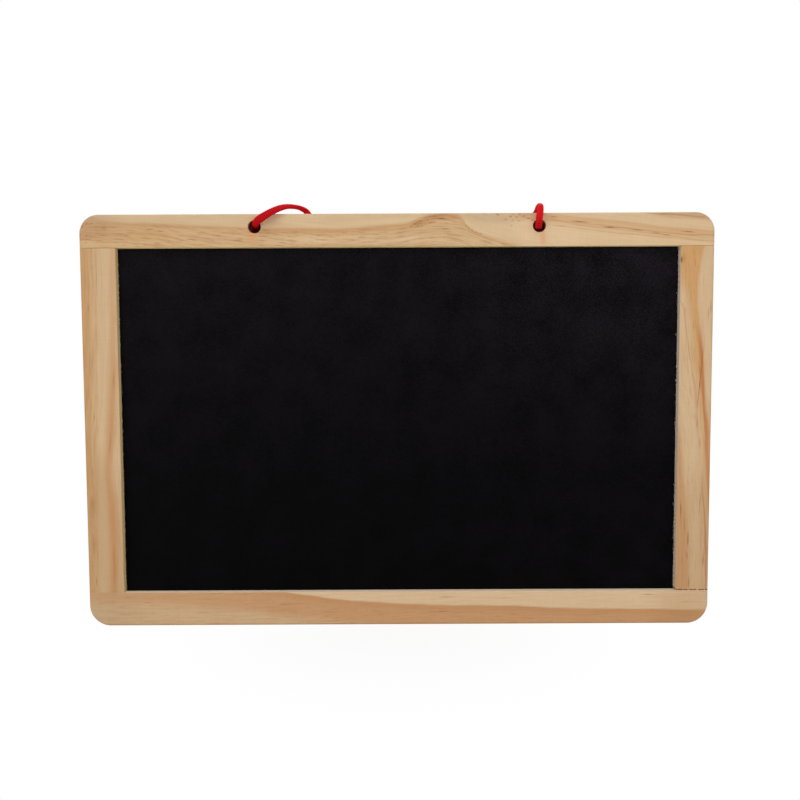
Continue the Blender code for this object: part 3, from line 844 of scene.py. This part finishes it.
def hole_cutter(centre):
    """A drill's shape, with the slightly broken rim that it leaves at both faces."""
    bm = bmesh.new()
    half = board_thickness / 2
    stations = [(-half - overrun, hole_flare), (-half, hole_flare), (-half + hole_flare, 0),
                (half - hole_flare, 0), (half, hole_flare), (half + overrun, hole_flare)]
    rings = []
    for y, flare in stations:
        ring = []
        for step in range(hole_steps):
            angle = 2 * math.pi * step / hole_steps
            across, up = math.cos(angle), math.sin(angle)
            ragged = hole_raggedness * noise.noise(Vector((across, up, centre.x)) * ragged_scale)
            reach = hole_diameter / 2 + flare * (1 + ragged)
            ring.append(bm.verts.new((centre.x + reach * across, y, centre.z + reach * up)))
        rings.append(ring)
    for low, high in zip(rings, rings[1:]):
        for step in range(hole_steps):
            after = (step + 1) % hole_steps
            bm.faces.new((low[step], low[after], high[after], high[step]))
    bm.faces.new(rings[0])
    bm.faces.new(rings[-1])
    for face in bm.faces:
        face.material_index = 1 if abs(face.calc_center_median().y) < half - hole_flare else 0
    bmesh.ops.recalc_face_normals(bm, faces=bm.faces)
    return bm


def stile(name, width, x_outer, inward, material, worn=False):
    """A stile with a stub tenon at each end, eased outer edges and a groove at its inner edge. A worn
    one has lost its lower front corner and some chips beside it, and its groove has planer marks."""
    half = board_thickness / 2
    slot = groove_width / 2
    x_inner = x_outer + inward * width
    outline = arc((edge_round, half - edge_round), edge_round, 180, 90, edge_steps)
    outline += [(width - arris_size, half), (width, half - arris_size), (width, slot)]
    outline += [(width - groove_depth, slot), (width - groove_depth, -slot)]
    outline += [(width, -slot), (width, arris_size - half), (width - arris_size, -half)]
    outline += arc((edge_round, edge_round - half), edge_round, 270, 180, edge_steps)
    low = bottom_rail_width + shoulder_gap
    high = board_height - top_rail_width - shoulder_gap
    foot = low - tenon_length
    head = high + tenon_length
    bm = prism([(x_outer + inward * x, y, foot) for x, y in outline], (0, 0, head - foot))
    member = new_object(name, mesh_from(name, bm), material)
    cutters = [
        box_cutter((x_outer - inward * overrun, side * tenon_thickness / 2, start),
                   (x_inner + inward * overrun, side * (half + overrun), end))
        for side in (-1, 1) for start, end in ((foot - overrun, low), (high, head + overrun))]
    if worn:
        # The corner's outline lies outward from the inner edge, and up from the stile's foot
        radius = worn_corner_radius
        corner = [(-overrun, radius)] + arc((radius, radius), radius, 180, 270, worn_corner_steps)
        corner += [(radius, -overrun), (-overrun, -overrun)]
        cutters.append(prism([(x_inner - inward * x, -half - overrun, low + z) for x, z in corner],
                             (0, half + overrun - slot, 0)))
        cutters += [
            box_cutter((x_inner - inward * start, -half - overrun, low - overrun),
                       (x_inner - inward * end, chip_depth - half, low + chip_height))
            for start, end in chips]
    take_away(member, cutters)
    finish_wood(member, x_outer, [(2, low, high, chatter_cut if worn else long_cut)])
    if worn:
        chatter(member, x_inner, inward)
    return member


def chatter(member, x_inner, inward):
    """Planer marks along the lip of the groove, a shallow scallop each few mm."""
    for vert in member.data.vertices:
        if abs(vert.co.x - x_inner) < touching and abs(vert.co.y + groove_width / 2) < touching:
            wander = chatter_wander * noise.noise(vert.co * wander_scale)
            wave = abs(math.sin(math.pi * vert.co.z / chatter_pitch + wander))
            torn = max(0, 0.5 + noise.noise(vert.co * tear_scale))
            vert.co.x -= inward * chatter_depth * (1 - wave) * torn


# Cord


def smooth_route(points):
    """A fine line through the route's points, each stretch a cubic with shared slopes."""
    line = [points[0]]
    for index in range(len(points) - 1):
        before = points[max(index - 1, 0)]
        start, end = points[index], points[index + 1]
        after = points[min(index + 2, len(points) - 1)]
        first_handle = start + (end - before) * ((end - start).length / (end - before).length / 3)
        last_handle = end - (after - start) * ((end - start).length / (after - start).length / 3)
        line += interpolate_bezier(start, first_handle, last_handle, end, route_steps)[1:]
    return line


def evenly(line, step):
    """Points of a fine line at even distances."""
    points = [line[0]]
    carried = 0.0
    for here, there in zip(line, line[1:]):
        length = (there - here).length
        while carried + length >= step * len(points):
            points.append(here.lerp(there, (step * len(points) - carried) / length))
        carried += length
    return points


def outward_of_rail(point):
    """Which way the cord's flat side faces: away from the wood between a hole and the top edge."""
    core_height = hole_height + core_over_hole
    if point.x < 0:
        core_height -= slow_twist * ramp(point.y, *twisted_depths)
    if point.y > board_thickness / 2 and point.z < core_height:
        return Vector((0, 1, 0))
    return Vector((0, point.y, point.z - core_height)).normalized()


def steady(ways, tangents, reach):
    """Even out the flat side's way along the cord and keep it square to the cord."""
    sums = [Vector((0, 0, 0))]
    for way in ways:
        sums.append(sums[-1] + way)
    result = []
    for index, tangent in enumerate(tangents):
        way = sums[min(index + reach + 1, len(ways))] - sums[max(index - reach, 0)]
        way -= tangent * way.dot(tangent)
        result.append(way.normalized())
    return result


def in_a_hole(point):
    """1 where the cord is inside a drilled hole or shows through it, 0 where it is in the open. It sets the
    cord's painted shade in the holes.
    """
    hole = left_hole if point.x < 0 else right_hole
    if math.hypot(point.x - hole.x, point.z - hole.z) > hole_diameter / 2:
        return 0.0
    from_front = point.y + board_thickness / 2
    return min(ramp(from_front, *hole_shade_from_front), ramp(hole_shade_reach - from_front, *hole_shade_from_knot))


def weave_at(point):
    """The ribs' and the parting's depth, and the stitches' slant, painted brightness and sharpness, at a
    place.
    """
    height = point.z - hole_height
    right = ramp(point.x, *left_to_right)
    crest = right * ramp(height, *crest_heights)
    # Painted light: the crowns are dimmer to the right and lighter past the left hole; painted shade darkens
    # the front by the right hole
    bright = painted_brightness - painted_right_dimming * right + painted_lit_gain * ramp(point.x - left_hole.x, *painted_lit_places)
    if point.y < 0:
        bright *= 1 - painted_shade_share * right * ramp(height, *painted_shade_heights)
    ribs = left_rib_depth + (right_rib_depth - left_rib_depth) * right
    parted = right * (1 - crest_share * crest)
    parting = left_parting_depth + (right_parting_depth - left_parting_depth) * parted
    slant = left_slant + (right_slant - left_slant) * right
    return ribs, parting, slant, bright, left_sharpness + (right_sharpness - left_sharpness) * right


def thickness_along(point):
    """The braid is flat at the left and hanging, flatter still over the left of the top edge, and
    rounder where it bends sharply at the right."""
    height = point.z - hole_height
    if point.x < 0:
        return cord_thickness - pressed * ramp(height, *pressed_heights) * ramp(point.y, *pressed_depths)
    return cord_thickness + (rounder_thickness - cord_thickness) * ramp(height, *rounder_heights)


def width_along(point):
    """The braid is spread wider by the left hole, and drawn narrower in front at the right."""
    in_front = ramp(point.y, *front_depths)
    if point.x > 0:
        return cord_width + (drawn_width - cord_width) * in_front
    along = point.x - left_hole.x
    spread = ramp(along, *spreading_places) * ramp(along, *narrowing_places)
    return cord_width + spread_gain * spread * in_front


def knot_size_at(from_start, to_end):
    """The cord is full size in its hole, and squeezed where the knot draws it tight and at its tip."""
    size = 1 + (knot_squeeze - 1) * ramp(from_start, *drawn_from_start)
    return size * (tip_share + (1 - tip_share) * ramp(to_end, 0, tip_length))


def melted_at(to_end):
    return ramp(to_end / tip_length, *melted_shares)


def braid(name, line, facing, width, thickness, material, squeeze=None, melted=None):
    """A braided tube along a line: two lobes of slanted stitches, mirrored at the parting."""
    step = stitch_pitch / points_per_stitch
    points = evenly(line, step)
    total = len(points)
    tangents = [(points[min(i + 1, total - 1)] - points[max(i - 1, 0)]).normalized() for i in range(total)]
    facings = [facing(point, tangent) for point, tangent in zip(points, tangents)]
    ways = steady(facings, tangents, evened_points)
    bm = bmesh.new()
    painted_light_layer, melted_layer, hole_shade_layer = [
        bm.verts.layers.float.new(layer) for layer in ("painted_light", "melted", "hole_shade")]
    uv_layer = bm.loops.layers.uv.new("stitches")
    girth = math.pi * (cord_width + cord_thickness) / 2
    rings = []
    for index, (point, tangent, way) in enumerate(zip(points, tangents, ways)):
        side_way = tangent.cross(way)
        to_end = (total - 1 - index) * step
        size = squeeze(index * step, to_end) if squeeze else 1.0
        melt = melted(to_end) if melted else 0.0
        ribs, parting, slant, bright, sharpness = weave_at(point)
        ring = []
        for spoke in range(sides):
            angle = 2 * math.pi * spoke / sides
            from_parting = abs(math.sin(angle))
            phase = index / points_per_stitch + slant * from_parting
            in_stitch = 2 * (phase - math.floor(phase)) - 1
            rib = math.sqrt(max(0.0, 1 - in_stitch ** 2))
            valley = from_parting ** valley_power
            sunk = (ribs * (1 - rib) + parting * valley) * (1 - melt)
            wide = width(point) / 2 * size - sunk
            thick = thickness(point) / 2 * size - sunk
            vert = bm.verts.new(point + side_way * wide * math.cos(angle) + way * thick * math.sin(angle))
            # Painted light on the crowns, and painted shade between the ribs and in the parting
            shade = painted_valley_shade * valley * parting / right_parting_depth
            vert[painted_light_layer] = bright * rib ** sharpness * (1 - shade)
            vert[melted_layer] = melt
            vert[hole_shade_layer] = in_a_hole(vert.co)
            ring.append(vert)
        rings.append(ring)
    for index, (low, high) in enumerate(zip(rings, rings[1:])):
        for spoke in range(sides):
            after = (spoke + 1) % sides
            face = bm.faces.new((low[spoke], low[after], high[after], high[spoke]))
            face.smooth = True
            corners = [(spoke, index), (spoke + 1, index), (spoke + 1, index + 1), (spoke, index + 1)]
            for loop, (across, along) in zip(face.loops, corners):
                loop[uv_layer].uv = (across / sides * girth / mm, along * step / mm)
    for ring, point, way in ((rings[0], points[0], -tangents[0]), (rings[-1], points[-1], tangents[-1])):
        middle = bm.verts.new(point + way * cap_height)
        middle[melted_layer] = ring[0][melted_layer]
        middle[hole_shade_layer] = in_a_hole(middle.co)
        for spoke in range(sides):
            bm.faces.new((ring[spoke], ring[(spoke + 1) % sides], middle))
    bmesh.ops.recalc_face_normals(bm, faces=bm.faces)
    return new_object(name, mesh_from(name, bm), material), points


def facing_in_knot(point, tangent):
    """The cord's flat side faces back in a knot, and down where it comes through the hole."""
    return Vector((0, 0, -1)) if abs(tangent.y) > through_share else Vector((0, 1, 0))


def overhand_knot(hole, place, tail_way, turned, first_part):
    """The line of a cord that leaves its hole at the back and ties an overhand knot with a short tail."""
    centre = hole + place
    flat_way = Vector((0, 1, 0))
    up_way = Matrix.Rotation(math.radians(turned), 3, "Y") @ Vector((tail_way.x, 0, tail_way.z)).normalized()
    out_way = up_way.cross(flat_way)
    points = [hole + Vector(point) for point in first_part]
    for step in range(knot_steps + 1):
        t = knot_trim + (2 * math.pi - 2 * knot_trim) * step / knot_steps
        spread = 2 + math.cos(3 * t)
        points.append(centre + knot_size * (
            out_way * spread * math.cos(2 * t) + up_way * spread * math.sin(2 * t)
            + flat_way * knot_depth * math.sin(3 * t)))
    points.append(centre + tail_way * tail_length * bow_share + out_way * tail_bow)
    points.append(centre + tail_way * tail_length)
    return smooth_route(points)


# Splinters along the lips of the stiles' grooves


def splinter_tree(material):
    """Raised fibres left by the groove cutter: one fine pale sliver every few tenths of a mm."""
    tree = bpy.data.node_groups.new("groove_splinters", "GeometryNodeTree")
    tree.interface.new_socket("Geometry", in_out="INPUT", socket_type="NodeSocketGeometry")
    tree.interface.new_socket("Geometry", in_out="OUTPUT", socket_type="NodeSocketGeometry")
    for name, value in splinter_sizes.items():
        socket = tree.interface.new_socket(name, in_out="INPUT", socket_type="NodeSocketFloat")
        socket.default_value = value
    tree.interface.new_socket("Seed", in_out="INPUT", socket_type="NodeSocketInt")
    given = add_node(tree, "NodeGroupInput").outputs

    def drawn(limits, kind, output):
        """A random value for each splinter, between two limits fed to the inputs of its kind."""
        return add_node(tree, "FunctionNodeRandomValue", {
            **limits, "Seed": given["Seed"]}, data_type=kind).outputs[output]

    curve = add_node(tree, "GeometryNodeMeshToCurve", {"Mesh": given["Geometry"]}).outputs[0]
    places = add_node(tree, "GeometryNodeCurveToPoints", {
        "Curve": curve, "Length": given["Spacing"]}, mode="LENGTH").outputs
    sliver = add_node(tree, "GeometryNodeMeshCone", {
        "Vertices": 4, "Radius Top": 0.0, "Radius Bottom": given["Thickness"],
        "Depth": given["Length"]}).outputs["Mesh"]
    tilt = drawn({0: -splinter_tilt, 1: splinter_tilt}, "FLOAT_VECTOR", 0)
    size = drawn({2: splinter_shares[0], 3: splinter_shares[1]}, "FLOAT", 1)
    drift = drawn({0: -splinter_drift, 1: splinter_drift}, "FLOAT_VECTOR", 0)
    placed = add_node(tree, "GeometryNodeInstanceOnPoints", {
        "Points": places["Points"], "Instance": sliver, "Rotation": places["Rotation"],
        "Scale": size}).outputs[0]
    turned = add_node(tree, "GeometryNodeRotateInstances", {"Instances": placed, "Rotation": tilt}).outputs[0]
    moved = add_node(tree, "GeometryNodeTranslateInstances", {
        "Instances": turned, "Translation": drift, "Local Space": False}).outputs[0]
    real = add_node(tree, "GeometryNodeRealizeInstances", {0: moved}).outputs[0]
    painted = add_node(tree, "GeometryNodeSetMaterial", {"Geometry": real, "Material": material}).outputs[0]
    add_node(tree, "NodeGroupOutput", {"Geometry": painted})
    return tree


def splinters(name, lips, tree, seed):
    mesh = bpy.data.meshes.new(name)
    ends = [point for lip in lips for point in lip]
    mesh.from_pydata(ends, [(2 * i, 2 * i + 1) for i in range(len(lips))], [])
    thing = new_object(name, mesh)
    modifier = thing.modifiers.new("splinters", "NODES")
    modifier.node_group = tree
    sockets = {item.name: item.identifier for item in tree.interface.items_tree if item.in_out == "INPUT"}
    for socket, value in {**splinter_sizes, "Seed": seed}.items():
        modifier[sockets[socket]] = value
    return made_plain(thing)


# Camera

camera_data = bpy.data.cameras.new("camera")
camera_data.sensor_width = 36
camera_data.lens = 36
camera = new_object("camera", camera_data)
camera.location = (0.0010, -0.3863, 0.1330)
camera.rotation_euler = (math.radians(86.451), math.radians(0.261), math.radians(-0.028))
bpy.context.scene.camera = camera

# Cord and knots

red_braid = braided_polyester()
left_points = [left_hole + Vector(point) for point in left_route]
right_points = [right_hole + Vector(point) for point in right_route]
whole_line = smooth_route(left_points + right_points)
mouth = mouth_depth - board_thickness / 2
outside = [index for index, point in enumerate(whole_line) if point.y < mouth]
cord_line = whole_line[outside[0]:outside[-1] + 1]
cord, cord_points = braid("hanging_cord", cord_line, lambda point, tangent: outward_of_rail(point),
                          width_along, thickness_along, red_braid)
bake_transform(cord)
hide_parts("left_cord_lead", "hanging_loop", "right_cord_lead")

for side, hole, place, tail_way, turned, route in (
        ("left", left_hole, left_knot_place, left_tail_way, 0, left_route[:3][::-1]),
        ("right", right_hole, right_knot_place, right_tail_way, -45, right_route[-3:])):
    start = (route[0][0], mouth + knot_start, route[0][2])
    line = overhand_knot(hole, place, tail_way, turned, [start] + list(route))
    tied, _ = braid(side + "_overhand_knot", line, facing_in_knot, lambda point: cord_width,
                    lambda point: rounder_thickness, red_braid, knot_size_at, melted_at)
    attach(tied, "board")
    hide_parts(side + "_knot")

# Frame

left_out = -board_width / 2
right_out = board_width / 2
low_in = bottom_rail_width
high_in = board_height - top_rail_width
members = {
    "top_rail": rail("pine_top_rail", top_rail_width, top_corner_radius, high_in, 1,
                     pine(**top_rail_figure), bored_hole()),
    "bottom_rail": rail("pine_bottom_rail", bottom_rail_width, bottom_corner_radius, low_in, -1,
                        pine(**bottom_rail_figure)),
    "left_stile": stile("pine_left_stile", left_stile_width, left_out, 1, pine(**left_stile_figure)),
    "right_stile": stile("pine_right_stile", right_stile_width, right_out, -1, pine(**right_stile_figure),
                         worn=True),
}
for node, piece in members.items():
    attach(piece, "board")
    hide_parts(node)

fuzz_tree = splinter_tree(raw_fibre())
for number, (side, y) in enumerate((("front", -groove_width / 2), ("back", groove_width / 2))):
    lips = [((x, y, low_in), (x, y, high_in))
            for x in (left_out + left_stile_width, right_out - right_stile_width)]
    fuzz = splinters(side + "_splinters", lips, fuzz_tree, number)
    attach(fuzz, "board")

# Panel

for node, material in (("chalkboard_face", chalkboard_paint()), ("panel_core", hardboard()),
                       ("whiteboard_face", wipe_clean_film())):
    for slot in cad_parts[node].material_slots:
        slot.material = material

# Floor, light and background

floor_reach = 4.0
shade_reach = (20 * mm, 110 * mm)
white = (1, 1, 1, 1)
floor_mesh = bpy.data.meshes.new("floor")
floor_corners = [(-floor_reach, -floor_reach, 0), (floor_reach, -floor_reach, 0),
                 (floor_reach, floor_reach, 0), (-floor_reach, floor_reach, 0)]
floor_mesh.from_pydata(floor_corners, [], [(0, 1, 2, 3)])
white_paper, tree = new_material("white_paper")
seen = add_node(tree, "ShaderNodeLightPath").outputs
away = add_node(tree, "ShaderNodeVectorMath", {0: object_place(tree)}, operation="LENGTH").outputs["Value"]
shown = maths(tree, "MULTIPLY", seen["Is Camera Ray"], ranged(tree, away, *shade_reach, 0.9, 1.0))
paper = add_node(tree, "ShaderNodeBsdfDiffuse", {"Color": linear("#f4f4f4")})
glow = add_node(tree, "ShaderNodeEmission", {"Color": white, "Strength": 1.0})
both = add_node(tree, "ShaderNodeMixShader", {0: shown, 1: paper.outputs[0], 2: glow.outputs[0]})
add_node(tree, "ShaderNodeOutputMaterial", {"Surface": both.outputs[0]})
floor = new_object("floor", floor_mesh, white_paper)

# The backdrop is white wherever the camera looks. What gloss shows is white behind the board,
# and the dimmer room in front of it.
world = bpy.data.worlds.new("studio")
bpy.context.scene.world = world
world.use_nodes = True
tree = world.node_tree
tree.nodes.clear()
seen = add_node(tree, "ShaderNodeLightPath").outputs
way = add_node(tree, "ShaderNodeTexCoord").outputs["Generated"]
axes = add_node(tree, "ShaderNodeSeparateXYZ", {0: way}).outputs
mirrored = maths(tree, "MAXIMUM", seen["Is Glossy Ray"], seen["Is Transmission Ray"])
shown = maths(tree, "MULTIPLY_ADD", mirrored, ranged(tree, axes["Y"], -0.2, 0.2), seen["Is Camera Ray"],
              use_clamp=True)
dim = add_node(tree, "ShaderNodeBackground", {"Color": white, "Strength": 0.50})
bright = add_node(tree, "ShaderNodeBackground", {"Color": white, "Strength": 1.0})
both = add_node(tree, "ShaderNodeMixShader", {0: shown, 1: dim.outputs[0], 2: bright.outputs[0]})
add_node(tree, "ShaderNodeOutputWorld", {"Surface": both.outputs[0]})

# Square lamps: where each stands, what it is aimed at, how wide it is and how strong
for name, place, aim, size, power in (
        ("key", (0.08, -1.30, 0.56), (0, 0, 0.10), 1.4, 5.0),
        ("fill", (-0.9, -1.1, 0.35), (0, 0, 0.08), 0.6, 2.2),
        ("back", (0.3, 1.20, 0.90), (0, 0, 0.10), 0.9, 9.0),
        ("top", (-0.05, -0.45, 1.05), (0, 0, 0.10), 0.9, 3.0)):
    data = bpy.data.lights.new(name, "AREA")
    data.shape = "SQUARE"
    data.size = size
    data.energy = power
    light = new_object(name, data)
    light.location = place
    light.rotation_euler = (Vector(aim) - Vector(place)).to_track_quat("-Z", "Y").to_euler()

bpy.context.scene.view_settings.view_transform = "Standard"
